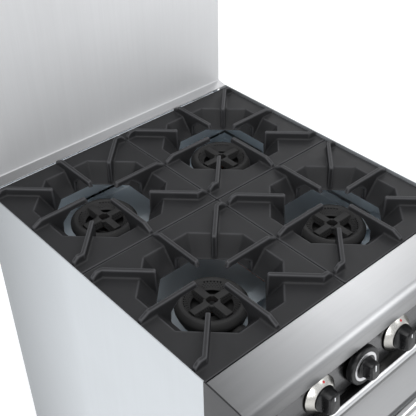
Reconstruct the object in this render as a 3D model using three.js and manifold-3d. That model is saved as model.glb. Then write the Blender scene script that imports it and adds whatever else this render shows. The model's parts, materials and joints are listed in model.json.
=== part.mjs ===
// A 24 inch restaurant gas range: four open burners over an oven, with a flue riser behind.
// Millimetres, +Z up, X to the right of a person facing it, front towards -Y.
// The origin is at the floor, in the middle of the footprint with the door shut.
import * as THREE from "three";
import { mergeVertices } from "three/addons/utils/BufferGeometryUtils.js";
import Module from "manifold-3d";

const wasm = await Module();
wasm.setup();

// ---- Driving dimensions -------------------------------------------------------------------
const WIDTH = 610;                    // over the side panels
const COOK_HEIGHT = 910;              // floor to the rim round the grates
const COOK_DEPTH = 614;               // rim, front to back
const COOK_FRONT = -266;              // Y of the rim's front edge
const RISER_HEIGHT = 559;             // above the rim
const LEG_HEIGHT = 152;
const SHEET = 2;                      // drawn thickness of the folded sheet
const GAP = 0.5;                      // between neighbouring pieces

const SIDE_X = WIDTH / 2;
const INSIDE_X = SIDE_X - SHEET - GAP;
const COOK_BACK = COOK_FRONT + COOK_DEPTH;
const BODY_BACK = COOK_FRONT + 632;
const RISER_FRONT = COOK_FRONT + 637;
const RISER_BACK = COOK_FRONT + 696;

// Grates and burners stand in a two by two pattern.
const GRATE_WIDTH = 301.4;
const GRATE_DEPTH = 305.4;
const GRATE_TOP = COOK_HEIGHT - 5.5;  // top of the flat plate
const GRATE_PLATE = 5;
const RIB_TOP = COOK_HEIGHT + 10;
const RIB_WIDTH = 8;
const BOWL_TOP_APOTHEM = 117;
const BOWL_LOW_APOTHEM = 88;
const BOWL_LOW = COOK_HEIGHT - 43;
const BOWL_WALL = 5;
const BURNER_TOP = COOK_HEIGHT - 52;
const PILOT_TOP = COOK_HEIGHT - 70;
const BURNER_RADIUS = 64;
const VENTURI_Z = COOK_HEIGHT - 84;
const VENTURI_RADIUS = 17;

// Control housing, in front of the rim.
const RAIL_DEPTH = 89;
const PANEL_TILT = THREE.MathUtils.degToRad(8);
const KNOB_Y = COOK_FRONT - 84;
const KNOB_Z = COOK_HEIGHT - 82;
const KNOB_X = [-260, -148, 38, 152];
const OVEN_KNOB_X = -55;
const SKIRT_RADIUS = 33;
const LIP_TOP = COOK_HEIGHT - 117;
const MANIFOLD_Y = COOK_FRONT - 46;
const MANIFOLD_Z = COOK_HEIGHT - 59;
const PIPE_RADIUS = 10.5;

// Oven, its door and the fronts below the control housing.
const FRAME_FRONT = COOK_FRONT - 56;
const DOOR_FRONT = COOK_FRONT - 104;
const DOOR_BACK = COOK_FRONT - 60;
const DOOR_TOP = COOK_HEIGHT - 143;
const DOOR_LOW = 326;
const DOOR_HALF = 298;
const HINGE_Y = DOOR_BACK - 10;
const HINGE_Z = DOOR_LOW + 8;
const HANDLE_Y = COOK_FRONT - 150;
const HANDLE_Z = COOK_HEIGHT - 190;
const HANDLE_RADIUS = 14;
const OVEN_HALF = 252;
const OVEN_LOW = 386;
const OVEN_TOP = 716;
const OVEN_BACK = COOK_BACK - 40;
const DECK_Z = COOK_HEIGHT - 140;

// ---- Materials ----------------------------------------------------------------------------
function metal(color, roughness, metalness = 1) {
  return new THREE.MeshStandardMaterial({ color, roughness, metalness });
}
const stainless = () => metal(0xc9cccd, 0.3);
const darkSteel = () => metal(0x55585a, 0.4);
const castIron = () => metal(0x2b2c2e, 0.6, 0.4);
const aluminised = () => metal(0xa9adb0, 0.38);
const enamel = () => metal(0x23262b, 0.25, 0.1);
const blackPlastic = () => metal(0x141416, 0.3, 0);
const brass = () => metal(0xb58a45, 0.35);
const copper = () => metal(0xb8693c, 0.35);
const nickel = () => metal(0xc6c1b6, 0.3);
const glassRope = () => metal(0xcfc7a8, 0.95, 0);

// ---- Solids -------------------------------------------------------------------------------
function solid(geometry) {
  geometry.deleteAttribute("normal");
  geometry.deleteAttribute("uv");
  const merged = mergeVertices(geometry, 1e-3);
  const vertProperties = new Float32Array(merged.attributes.position.array);
  const triVerts = new Uint32Array(merged.index.array);
  return new wasm.Manifold(new wasm.Mesh({ numProp: 3, vertProperties, triVerts }));
}

function joined(...solids) {
  return solids.reduce((whole, piece) => whole.add(piece));
}

function cut(whole, ...tools) {
  return tools.reduce((rest, tool) => rest.subtract(tool), whole);
}

// A block between two corners.
function block(x0, x1, y0, y1, z0, z1) {
  const geometry = new THREE.BoxGeometry(x1 - x0, y1 - y0, z1 - z0);
  geometry.translate((x0 + x1) / 2, (y0 + y1) / 2, (z0 + z1) / 2);
  return solid(geometry);
}

// An outline given as [y, z] points, drawn out along X.
function profileAlongX(points, x0, x1) {
  const shape = new THREE.Shape(points.map(([y, z]) => new THREE.Vector2(y, z)));
  const geometry = new THREE.ExtrudeGeometry(shape, { depth: x1 - x0, bevelEnabled: false });
  geometry.applyMatrix4(new THREE.Matrix4().set(0, 0, 1, x0, 1, 0, 0, 0, 0, 1, 0, 0, 0, 0, 0, 1));
  return solid(geometry);
}

// An outline given as [x, y] points, drawn up along Z.
function profileAlongZ(points, z0, z1) {
  const shape = new THREE.Shape(points.map(([x, y]) => new THREE.Vector2(x, y)));
  const geometry = new THREE.ExtrudeGeometry(shape, { depth: z1 - z0, bevelEnabled: false });
  geometry.translate(0, 0, z0);
  return solid(geometry);
}

// [radius, height] points for a lathe: a profile that stays off the axis is closed on itself.
function lathePoints(profile) {
  const closed = profile[0][0] === 0 ? profile : [...profile, profile[0]];
  return closed.map(([r, h]) => new THREE.Vector2(r, h));
}

// A profile of [radius, height] points turned round a Z axis at (x, y).
function turned(profile, x, y, segments = 20, start = 0) {
  const geometry = new THREE.LatheGeometry(lathePoints(profile), segments, start);
  geometry.rotateX(Math.PI / 2);
  geometry.translate(x, y, 0);
  return solid(geometry);
}

const UP_Y = new THREE.Vector3(0, 1, 0);

// A solid rod between two points.
function rod(from, to, radius, segments = 8) {
  const a = new THREE.Vector3(...from);
  const b = new THREE.Vector3(...to);
  const geometry = new THREE.CylinderGeometry(radius, radius, a.distanceTo(b), segments);
  const along = b.clone().sub(a).normalize();
  geometry.applyQuaternion(new THREE.Quaternion().setFromUnitVectors(UP_Y, along));
  geometry.translate((a.x + b.x) / 2, (a.y + b.y) / 2, (a.z + b.z) / 2);
  return solid(geometry);
}

// A round bar along straight runs, with an elbow of the given bend at each corner.
function bentRod(points, radius, bend, segments = 10) {
  const stops = points.map((p) => new THREE.Vector3(...p));
  const last = stops.length - 1;
  const overlap = 0.5;
  const towards = (i, j, distance) => {
    const step = stops[j].clone().sub(stops[i]).setLength(distance);
    return stops[i].clone().add(step);
  };
  const pieces = [];
  for (let i = 0; i < last; i += 1) {
    const from = i === 0 ? stops[0] : towards(i, i + 1, bend - overlap);
    const to = i + 1 === last ? stops[last] : towards(i + 1, i, bend - overlap);
    pieces.push(rod(from.toArray(), to.toArray(), radius, segments));
  }
  for (let i = 1; i < last; i += 1) {
    const curve = new THREE.QuadraticBezierCurve3(towards(i, i - 1, bend), stops[i], towards(i, i + 1, bend));
    pieces.push(solid(new THREE.ExtrudeGeometry(disc(radius, segments),
      { steps: 4, extrudePath: curve, bevelEnabled: false })));
  }
  return joined(...pieces);
}

function disc(radius, segments) {
  const angles = Array.from({ length: segments }, (_, i) => (i / segments) * 2 * Math.PI);
  return new THREE.Shape(angles.map((a) => new THREE.Vector2(radius * Math.cos(a), radius * Math.sin(a))));
}

// ---- The assembly -------------------------------------------------------------------------
const range = new THREE.Group();

function place(name, manifold, material, parent = range) {
  const mesh = manifold.getMesh();
  const geometry = new THREE.BufferGeometry();
  geometry.setAttribute("position", new THREE.BufferAttribute(mesh.vertProperties, 3));
  geometry.setIndex(new THREE.BufferAttribute(mesh.triVerts, 1));
  geometry.computeVertexNormals();
  const piece = new THREE.Mesh(geometry, material);
  piece.name = name;
  parent.add(piece);
}

// ---- Base, legs and body panels -----------------------------------------------------------
const SIDES = [["left", -1], ["right", 1]];
const CORNERS = [["front_left", -1, -1], ["front_right", 1, -1], ["rear_left", -1, 1], ["rear_right", 1, 1]];

// A panel across X given by where its inner face lies on either side.
function sideBlock(side, xOuter, xInner, y0, y1, z0, z1) {
  const [low, high] = side < 0 ? [-xOuter, -xInner] : [xInner, xOuter];
  return block(low, high, y0, y1, z0, z1);
}

const BASE_TOP = LEG_HEIGHT + 38;
const BASE_FRONT = COOK_FRONT - 40;
const BASE_BACK = BODY_BACK - SHEET - GAP;

function buildBase() {
  const outside = block(-INSIDE_X, INSIDE_X, BASE_FRONT, BASE_BACK, LEG_HEIGHT, BASE_TOP);
  const flange = 28;
  const floor = 3;
  const hollow = block(-INSIDE_X + flange, INSIDE_X - flange, BASE_FRONT + flange, BASE_BACK - flange,
    LEG_HEIGHT + floor, BASE_TOP + 1);
  place("base_frame", cut(outside, hollow), darkSteel());
}

// Each leg is a tapered tube with its levelling foot screwed into it.
function buildLegs() {
  const profile = [[0, 0], [21, 0], [23, 4], [23, 9], [13, 14], [13, 26], [17, 26], [22, 146],
    [36, 146], [36, LEG_HEIGHT - GAP], [0, LEG_HEIGHT - GAP]];
  const inset = 60;
  for (const [name, sx, sy] of CORNERS) {
    const x = sx * (SIDE_X - inset);
    const y = sy < 0 ? BASE_FRONT + inset : BASE_BACK - inset;
    place(`leg_${name}`, turned(profile, x, y, 14), stainless());
  }
}

function buildSidePanels() {
  const hem = 16;
  for (const [name, side] of SIDES) {
    const sheet = sideBlock(side, SIDE_X, SIDE_X - SHEET, COOK_FRONT, BODY_BACK, LEG_HEIGHT, COOK_HEIGHT);
    const bottom = sideBlock(side, SIDE_X, SIDE_X - hem, COOK_FRONT, BODY_BACK,
      LEG_HEIGHT - SHEET - GAP, LEG_HEIGHT - GAP);
    const wrap = sideBlock(side, SIDE_X, SIDE_X - SHEET, COOK_FRONT, BODY_BACK,
      LEG_HEIGHT - SHEET - GAP, LEG_HEIGHT);
    const riserSeat = sideBlock(side, SIDE_X + 1, SIDE_X - SHEET - 1, COOK_BACK - 1, BODY_BACK + 1,
      COOK_HEIGHT - 3.5, COOK_HEIGHT + 1);
    place(`${name}_side_panel`, cut(joined(sheet, wrap, bottom), riserSeat), stainless());
  }
}

function buildRearPanel() {
  const reach = 20;
  const pipeHole = rod([GAS_X, BODY_BACK - reach, MANIFOLD_Z], [GAS_X, BODY_BACK + reach, MANIFOLD_Z],
    PIPE_RADIUS + 3);
  const sheet = block(-INSIDE_X, INSIDE_X, BODY_BACK - SHEET, BODY_BACK, LEG_HEIGHT, COOK_HEIGHT - 30);
  const slots = [];
  for (let i = 0; i < 6; i += 1) {
    const z = BASE_TOP + 20 + i * 16;
    slots.push(block(-150, 150, BODY_BACK - 10, BODY_BACK + 10, z, z + 6));
  }
  place("rear_panel", cut(sheet, pipeHole, ...slots), aluminised());
}

// A front sheet across the whole width, folded back along both sides to meet the side panels.
function wrappedFront(y, thickness, z0, z1) {
  const back = COOK_FRONT - GAP;
  const inside = SIDE_X - SHEET;
  return profileAlongZ([[-SIDE_X, y], [SIDE_X, y], [SIDE_X, back], [inside, back], [inside, y + thickness],
    [-inside, y + thickness], [-inside, back], [-SIDE_X, back]], z0, z1);
}

// The stainless front round the oven mouth, with short returns that carry on the body's sides.
const FRAME_LOW = DOOR_LOW - 4;
function buildFrontFrame() {
  const wrap = wrappedFront(FRAME_FRONT, 3, FRAME_LOW, DECK_Z - GAP);
  const mouth = block(-OVEN_HALF, OVEN_HALF, FRAME_FRONT - 1, FRAME_FRONT + 4, OVEN_LOW, OVEN_TOP);
  place("front_frame", cut(wrap, mouth), stainless());
}

function buildLowerFront() {
  const y = FRAME_FRONT + 4;
  const low = LEG_HEIGHT;
  const high = FRAME_LOW - GAP;
  const louvres = [];
  for (let i = 0; i < 3; i += 1) {
    const z = low + 58 + i * 24;
    for (const x of [-130, 130]) louvres.push(block(x - 85, x + 85, y - 1, y + 5, z, z + 7));
  }
  place("lower_front_panel", cut(wrappedFront(y, SHEET, low, high), ...louvres), stainless());
}

// ---- Control housing ----------------------------------------------------------------------
function around(points) {
  return points.map(([y, z]) => [COOK_FRONT + y, COOK_HEIGHT + z]);
}

// Arc of a rounded fold, as [y, z] points about a centre, from one angle to another in degrees.
function fold(cy, cz, radius, from, to, steps) {
  const points = [];
  for (let i = 0; i <= steps; i += 1) {
    const angle = THREE.MathUtils.degToRad(from + ((to - from) * i) / steps);
    points.push([cy + radius * Math.cos(angle), cz + radius * Math.sin(angle)]);
  }
  return points;
}

function buildFrontRail() {
  // The ledge falls slightly to the front, folds over a wide radius and ends in a hem.
  const outer = [[-GAP, 0], ...fold(-69, -22, 18.5, 93, 172, 7), [-RAIL_DEPTH, -40]];
  const hem = [[-81, -40], [-81, -38]];
  const inner = [[-RAIL_DEPTH + SHEET, -38], ...fold(-69, -22, 16.5, 172, 93, 7), [-GAP, -SHEET]];
  place("front_rail", profileAlongX(around([...outer, ...hem, ...inner]), -INSIDE_X, INSIDE_X), stainless());
}

function buildEndCaps() {
  const edge = [[-GAP, 0], ...fold(-69, -22, 18.5, 93, 172, 7), [-RAIL_DEPTH, -40], [-92, -112],
    [-102.4, -117], [-102.4, -DECK_DROP], [-GAP, -DECK_DROP]];
  for (const [name, side] of SIDES) {
    const [x0, x1] = side < 0 ? [-SIDE_X, -SIDE_X + SHEET] : [SIDE_X - SHEET, SIDE_X];
    place(`${name}_end_cap`, profileAlongX(around(edge), x0, x1), darkSteel());
  }
}

// The tilted panel that the knobs stand on, split along the line of their stems.
const PANEL_SPLIT = -90;
function panelY(z, proud = 0) {
  const drop = z - (KNOB_Z - COOK_HEIGHT);
  return KNOB_Y - COOK_FRONT + 1.5 + drop * Math.tan(PANEL_TILT) - proud;
}

function stemHoles() {
  return [...KNOB_X, OVEN_KNOB_X].map((x) => {
    const reach = 12;
    const a = [x, KNOB_Y - reach, KNOB_Z + reach * Math.tan(PANEL_TILT)];
    const b = [x, KNOB_Y + reach, KNOB_Z - reach * Math.tan(PANEL_TILT)];
    return rod(a, b, 7);
  });
}

function buildPanels() {
  const x = INSIDE_X;
  const holes = stemHoles();
  const upper = [[panelY(-42), -42], [panelY(PANEL_SPLIT), PANEL_SPLIT + GAP / 2],
    [panelY(PANEL_SPLIT) + SHEET, PANEL_SPLIT + GAP / 2], [panelY(-42) + SHEET, -42]];
  place("upper_control_panel", cut(profileAlongX(around(upper), -x, x), ...holes), stainless());
  const lower = [[panelY(PANEL_SPLIT), PANEL_SPLIT - GAP / 2], [panelY(-115), -115], [-90, -116.2],
    [-94, -116.6], [-104, -116.8], [-104, -118.6], [-93, -118.4], [-88.6, -117.6],
    [panelY(-115) + SHEET, -116.2], [panelY(PANEL_SPLIT) + SHEET, PANEL_SPLIT - GAP / 2]];
  place("lower_control_panel", cut(profileAlongX(around(lower), -x, x), ...holes), stainless());
}

// ---- Gas parts ----------------------------------------------------------------------------
const GAS_X = SIDE_X - 25;
const DECK_DROP = COOK_HEIGHT - DECK_Z;

function buildManifold() {
  const pipe = bentRod([
    [-SIDE_X + 22, MANIFOLD_Y, MANIFOLD_Z],
    [GAS_X, MANIFOLD_Y, MANIFOLD_Z],
    [GAS_X, BODY_BACK + 24, MANIFOLD_Z],
  ], PIPE_RADIUS, 24);
  const bore = PIPE_RADIUS - 3;
  const inlet = rod([GAS_X, BODY_BACK - 30, MANIFOLD_Z], [GAS_X, BODY_BACK + 40, MANIFOLD_Z], bore);
  place("gas_manifold", cut(pipe, inlet), darkSteel());
}

// Points on a stem's axis: a distance behind (positive) or in front of (negative) the knob's base.
function onStem(x, back) {
  return [x, KNOB_Y + back * Math.cos(PANEL_TILT), KNOB_Z - back * Math.sin(PANEL_TILT)];
}

function buildValves() {
  KNOB_X.forEach((x, i) => {
    const body = rod(onStem(x, 12), onStem(x, 46), 10);
    const nose = rod(onStem(x, 5), onStem(x, 14), 6.3);
    const hood = rod(onStem(x, 44), onStem(x, 66), 5.5);
    const neck = rod([x, MANIFOLD_Y, KNOB_Z], [x, MANIFOLD_Y, MANIFOLD_Z - PIPE_RADIUS - GAP], 6);
    const bore = rod(onStem(x, 3), onStem(x, 30), 4);
    place(`burner_valve_${i + 1}`, cut(joined(body, nose, hood, neck), bore), brass());
  });
  const x = OVEN_KNOB_X;
  const box = block(x - 24, x + 24, KNOB_Y + 13, KNOB_Y + 55, KNOB_Z - 26, MANIFOLD_Z - PIPE_RADIUS - 3);
  const neck = rod([x, MANIFOLD_Y, KNOB_Z], [x, MANIFOLD_Y, MANIFOLD_Z - PIPE_RADIUS - GAP], 7);
  const nose = rod(onStem(x, 5), onStem(x, 20), 6.3);
  const bore = rod(onStem(x, 3), onStem(x, 34), 4);
  place("oven_thermostat", cut(joined(box, nose, neck), bore), aluminised());
}

// The way every stem points: out of the tilted panel.
const FORWARD = new THREE.Vector3(0, -Math.cos(PANEL_TILT), Math.sin(PANEL_TILT));

// A profile turned round the stem's axis, its heights measured out from the knob's base.
function alongStem(profile, x, segments) {
  const geometry = new THREE.LatheGeometry(lathePoints(profile), segments);
  geometry.applyQuaternion(new THREE.Quaternion().setFromUnitVectors(UP_Y, FORWARD));
  geometry.translate(x, KNOB_Y, KNOB_Z);
  return solid(geometry);
}

// A flat-sided grip: what is left of a turned body between two slabs.
function gripSlabs(x, halfWidth, near, far) {
  const reach = 60;
  return SIDES.map(([, side]) => {
    const slab = new THREE.BoxGeometry(reach, far - near, 2 * reach);
    slab.translate(side * (halfWidth + reach / 2), (near + far) / 2, 0);
    slab.applyQuaternion(new THREE.Quaternion().setFromUnitVectors(UP_Y, FORWARD));
    slab.translate(x, KNOB_Y, KNOB_Z);
    return solid(slab);
  });
}

function buildKnobs() {
  const stem = [[0, -26], [3.4, -26], [3.4, 3], [0, 3]];
  const skirt = [[4.2, 0], [SKIRT_RADIUS, 0], [SKIRT_RADIUS, 2], [22.5, 10.5], [20.5, 10.5],
    [SKIRT_RADIUS - 4, 2.6], [4.2, 2]];
  const grip = [[0, 2.4], [16, 2.4], [19.6, 10], [19.6, 10.9], [21.8, 11.1], [21, 13], [18.5, 29],
    [15.5, 31.5], [0, 31.5]];
  KNOB_X.forEach((x, i) => {
    const handle = cut(alongStem(grip, x, 16), ...gripSlabs(x, 12.5, 13, 40));
    place(`burner_knob_${i + 1}`, joined(handle, alongStem(stem, x, 8)), blackPlastic());
    place(`knob_skirt_${i + 1}`, alongStem(skirt, x, 18), nickel());
  });
  const dial = [[0, 1], [32, 1], [34, 4], [33, 12], [30, 13.5], [0, 13.5]];
  const hub = [[0, 13], [17.5, 13], [16, 31], [14, 33], [0, 33]];
  const x = OVEN_KNOB_X;
  const handle = cut(alongStem(hub, x, 16), ...gripSlabs(x, 10.5, 16, 40));
  place("oven_dial", joined(alongStem(dial, x, 18), handle, alongStem(stem, x, 8)), blackPlastic());
}

// ---- Cooktop ------------------------------------------------------------------------------
const BURNERS = [
  ["front_left", -1, -1, -148], ["front_right", 1, -1, 152],
  ["rear_left", -1, 1, -260], ["rear_right", 1, 1, 38],
];
const burnerX = (sx) => sx * (GRATE_WIDTH / 2 + 0.6);
const burnerY = (sy) => (COOK_FRONT + COOK_BACK) / 2 + sy * (GRATE_DEPTH / 2 + 0.8);

function buildBurnerBox() {
  const top = GRATE_TOP - GRATE_PLATE - GAP;
  const low = LIP_TOP - 1;
  const x = INSIDE_X - 0.5;
  const y0 = COOK_FRONT + 1;
  const y1 = COOK_BACK - 2;
  const wall = 2;
  const ledge = 12;
  const shell = cut(
    block(-x, x, y0, y1, low, top),
    block(-x + wall, x - wall, y0 + wall, y1 - wall, low - 1, top + 1),
  );
  const rim = cut(
    block(-x, x, y0, y1, top - 3, top),
    block(-x + ledge, x - ledge, y0 + ledge, y1 - ledge, top - 4, top + 1),
  );
  const middle = (y0 + y1) / 2;
  const across = block(-x, x, middle - 9, middle + 9, top - 3, top);
  const along = block(-9, 9, y0, y1, top - 3, top);
  const seats = [-1, 1].map((sy) => block(-x, x, burnerY(sy) - 14, burnerY(sy) + 14, low + 4, low + 7));
  const mouths = BURNERS.map(([, , , x]) =>
    rod([x, y0 - 5, VENTURI_Z], [x, y0 + 8, VENTURI_Z], VENTURI_RADIUS + 2));
  const pilotHoles = CORNERS.map(([, sx, sy]) =>
    rod([burnerX(sx), burnerY(sy), low], [burnerX(sx), burnerY(sy), low + 12], 6));
  const pipeHoles = [y0, y1].map((y) =>
    rod([GAS_X, y - 8, MANIFOLD_Z], [GAS_X, y + 8, MANIFOLD_Z], PIPE_RADIUS + 2));
  const folded = joined(shell, rim, across, along, ...seats);
  place("burner_box", cut(folded, ...mouths, ...pilotHoles, ...pipeHoles), aluminised());
}

function grate(cx, cy) {
  const low = GRATE_TOP - GRATE_PLATE;
  const plate = block(-GRATE_WIDTH / 2, GRATE_WIDTH / 2, -GRATE_DEPTH / 2, GRATE_DEPTH / 2, low, GRATE_TOP);
  const corner = 1 / Math.cos(Math.PI / 8);
  const slope = (BOWL_TOP_APOTHEM - BOWL_LOW_APOTHEM) / (GRATE_TOP - BOWL_LOW);
  const openTop = BOWL_TOP_APOTHEM + 2 * slope;
  const mouth = [[0, low - 1], [BOWL_TOP_APOTHEM * corner, low - 1], [openTop * corner, GRATE_TOP + 2],
    [0, GRATE_TOP + 2]];
  const bowl = [[BOWL_LOW_APOTHEM * corner, BOWL_LOW], [(BOWL_LOW_APOTHEM + BOWL_WALL) * corner, BOWL_LOW],
    [(BOWL_TOP_APOTHEM + BOWL_WALL) * corner, low], [(BOWL_TOP_APOTHEM + BOWL_WALL) * corner, GRATE_TOP],
    [BOWL_TOP_APOTHEM * corner, GRATE_TOP]];
  const turn = Math.PI / 8;
  const ribs = [...straightRibs(), ...cornerRibs()];
  const body = joined(cut(plate, turned(mouth, 0, 0, 8, turn)), turned(bowl, 0, 0, 8, turn), ...ribs);
  return body.translate([cx, cy, 0]);
}

// The fingers that run in from the middle of each edge and reach out over the burner.
function straightRibs() {
  const tip = 31;
  const depth = 12;
  const wallFoot = BOWL_LOW_APOTHEM + 1;
  return [0, 1, 2, 3].map((quarter) => {
    const edge = (quarter % 2 === 0 ? GRATE_WIDTH : GRATE_DEPTH) / 2;
    const outline = [[tip, RIB_TOP - depth], [tip + 4, RIB_TOP], [edge - 20, RIB_TOP],
      [edge - 3, RIB_TOP - 9], [edge - 3, GRATE_TOP - 2], [BOWL_TOP_APOTHEM + 2, GRATE_TOP - 2],
      [wallFoot, BOWL_LOW + 1], [wallFoot - 2, RIB_TOP - depth - 16], [wallFoot - 20, RIB_TOP - depth]];
    return upright(outline, RIB_WIDTH, quarter * 90, 0, 0);
  });
}

// The fingers that start beside each corner, bend, and run down into the bowl on the diagonal.
function cornerRibs() {
  const bend = 127;
  const end = 90;
  const edge = GRATE_WIDTH / 2;
  const base = GRATE_TOP - 2;
  const round = RIB_WIDTH / 2;
  const post = [[0, base], [round, base], [round, RIB_TOP], [0, RIB_TOP]];
  const ribs = [];
  for (const sx of [-1, 1]) {
    for (const sy of [-1, 1]) {
      const diagonal = [[end, BOWL_LOW + 0.5], [end, RIB_TOP - 2], [end + 2, RIB_TOP],
        [bend * Math.SQRT2 + 1, RIB_TOP], [bend * Math.SQRT2 + 1, base], [BOWL_TOP_APOTHEM + 2, base]];
      const angle = THREE.MathUtils.radToDeg(Math.atan2(sy, sx));
      ribs.push(upright(diagonal, RIB_WIDTH, angle, 0, 0));
      const foot = [[bend - 2, base], [bend - 2, RIB_TOP], [edge - 12, RIB_TOP], [edge - 3, RIB_TOP - 8],
        [edge - 3, base]];
      ribs.push(upright(foot, RIB_WIDTH, sx > 0 ? 0 : 180, 0, sy * bend));
      ribs.push(turned(post, sx * bend, sy * bend, 8));
    }
  }
  return ribs;
}

// A rib whose side view is an outline of [distance, height] points, the same all through its width.
function upright(outline, width, degrees, x, y) {
  const shape = new THREE.Shape(outline.map(([s, z]) => new THREE.Vector2(s, z)));
  const geometry = new THREE.ExtrudeGeometry(shape, { depth: width, bevelEnabled: false });
  geometry.translate(0, 0, -width / 2);
  geometry.rotateX(Math.PI / 2);
  geometry.rotateZ(THREE.MathUtils.degToRad(degrees));
  geometry.translate(x, y, 0);
  return solid(geometry);
}

function buildGrates() {
  for (const [name, sx, sy] of CORNERS) {
    place(`grate_${name}`, grate(burnerX(sx), burnerY(sy)), castIron());
  }
}

// A burner: a shallow cast bowl fed by a long mixing tube, with a ported star head on top.
const HEAD_LOW = BURNER_TOP - 14;
const BODY_LOW = LIP_TOP + 7;
function buildBurners() {
  for (const [name, sx, sy, mouthX] of BURNERS) {
    const x = burnerX(sx);
    const y = burnerY(sy);
    const mouthY = COOK_FRONT - 8;
    const cup = [[12, BODY_LOW], [40, BODY_LOW], [BURNER_RADIUS - 4, HEAD_LOW - 14],
      [BURNER_RADIUS - 4, HEAD_LOW - GAP], [BURNER_RADIUS - 10, HEAD_LOW - GAP],
      [BURNER_RADIUS - 12, HEAD_LOW - 8], [40, HEAD_LOW - 12], [12, HEAD_LOW - 12]];
    const turnIn = sy < 0 ? [] : [[mouthX, y - 90, VENTURI_Z]];
    const route = [[mouthX, mouthY, VENTURI_Z], ...turnIn, [sy < 0 ? x : x - 30, y - 28, VENTURI_Z]];
    const tube = sy < 0
      ? rod(route[0], route[1], VENTURI_RADIUS)
      : bentRod(route, VENTURI_RADIUS, 30);
    const intake = VENTURI_RADIUS - 4;
    const bore = rod([mouthX, mouthY - 2, VENTURI_Z], [mouthX, mouthY + 90, VENTURI_Z], intake);
    const [low, high] = [BODY_LOW - 5, HEAD_LOW + 30];
    const chimney = turned([[0, low], [12, low], [12, high], [0, high]], x, y, 8);
    const ringSolid = turned(cup, x, y, 16);
    place(`burner_body_${name}`, cut(joined(ringSolid, tube), bore, chimney), castIron());
    place(`burner_head_${name}`, burnerHead(x, y), castIron());
  }
}

// The head's ring slopes in on a ported face, and two crossing bars with sloped sides tie it together.
function burnerHead(x, y) {
  const crest = BURNER_RADIUS - 8;
  const inner = 36.5;
  const ring = turned([[inner, HEAD_LOW], [BURNER_RADIUS, HEAD_LOW], [BURNER_RADIUS, HEAD_LOW + 5],
    [crest, BURNER_TOP], [crest - 6, BURNER_TOP], [inner, HEAD_LOW + 1.5]], x, y, 20);
  const foot = 12;
  const ridge = 6.5;
  const reach = inner + 7;
  const bar = [[-foot, HEAD_LOW], [foot, HEAD_LOW], [ridge, BURNER_TOP - 1], [-ridge, BURNER_TOP - 1]];
  const bars = [0, 90].map((degrees) => upright(bar, 2 * reach, degrees, x, y));
  const centre = 10;
  const pilotHole = turned([[0, HEAD_LOW - 1], [centre, HEAD_LOW - 1], [centre, BURNER_TOP + 1],
    [0, BURNER_TOP + 1]], x, y, 12);
  return cut(joined(ring, ...bars), pilotHole);
}

// Standing pilots: one copper line under the burners with a riser up the middle of each body.
const PILOT_Z = LIP_TOP - 4.5;
function buildPilots() {
  const tube = 1.8;
  const pieces = [];
  for (const [, sx, sy] of BURNERS) {
    const x = burnerX(sx);
    const y = burnerY(sy);
    pieces.push(rod([x, y, PILOT_Z], [x, y, PILOT_TOP], 3, 8));
  }
  const y0 = burnerY(-1);
  const y1 = burnerY(1);
  for (const sy of [-1, 1]) {
    pieces.push(rod([burnerX(-1), burnerY(sy), PILOT_Z], [burnerX(1), burnerY(sy), PILOT_Z], tube, 8));
  }
  pieces.push(rod([0, y0, PILOT_Z], [0, y1, PILOT_Z], tube, 8));
  place("pilot_line", joined(...pieces), copper());
}

// ---- Drip tray ----------------------------------------------------------------------------
function buildDripTray() {
  const half = INSIDE_X - 10;
  const floorZ = -DECK_DROP + GAP;
  const rim = floorZ + 14;
  const back = COOK_DEPTH - 14;
  const lip = [[-104.8, -117.2], [-108, -117.6], [-110.4, -119.6], [-111, -122], [-111, -138], [-103, -138],
    [-103, -136.4], [-109, -136.4], [-109, -122.6], [-107.6, -120.2], [-104.8, -119.2]];
  const front = profileAlongX(around(lip), -SIDE_X + GAP, SIDE_X - GAP);
  const [y0, y1] = [COOK_FRONT - 103.5, COOK_FRONT + back];
  const outside = block(-half, half, y0, y1, COOK_HEIGHT + floorZ, COOK_HEIGHT + rim);
  const inside = block(-half + 1.5, half - 1.5, y0 + 1.5, y1 - 1.5,
    COOK_HEIGHT + floorZ + 1.5, COOK_HEIGHT + rim + 1);
  place("drip_tray", joined(front, cut(outside, inside)), aluminised());
}

function buildDeck() {
  const top = DECK_Z - 0.2;
  const plate = block(-INSIDE_X, INSIDE_X, FRAME_FRONT + 3 + GAP, COOK_BACK, top - SHEET, top);
  place("oven_deck", plate, aluminised());
}

// ---- Oven ---------------------------------------------------------------------------------
function buildOven() {
  const y0 = FRAME_FRONT + 3 + GAP;
  const wall = 2;
  const box = cut(
    block(-OVEN_HALF - wall, OVEN_HALF + wall, y0, OVEN_BACK, OVEN_LOW - wall, OVEN_TOP + wall),
    block(-OVEN_HALF, OVEN_HALF, y0 - 1, OVEN_BACK - wall, OVEN_LOW, OVEN_TOP),
  );
  const vents = [-1, 1].map((side) =>
    sideBlock(side, OVEN_HALF - 4, OVEN_HALF - 22, y0 + 60, OVEN_BACK - 60, OVEN_LOW - 5, OVEN_LOW + 5));
  const flue = block(-150, 150, OVEN_BACK - 5, OVEN_BACK + 5, OVEN_TOP - 40, OVEN_TOP - 15);
  place("oven_liner", cut(box, ...vents, flue), enamel());
  const floor = block(-OVEN_HALF + 26, OVEN_HALF - 26, y0 + 12, OVEN_BACK - 14, OVEN_LOW + GAP, OVEN_LOW + 4);
  place("oven_floor_plate", floor, enamel());
}

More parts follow.
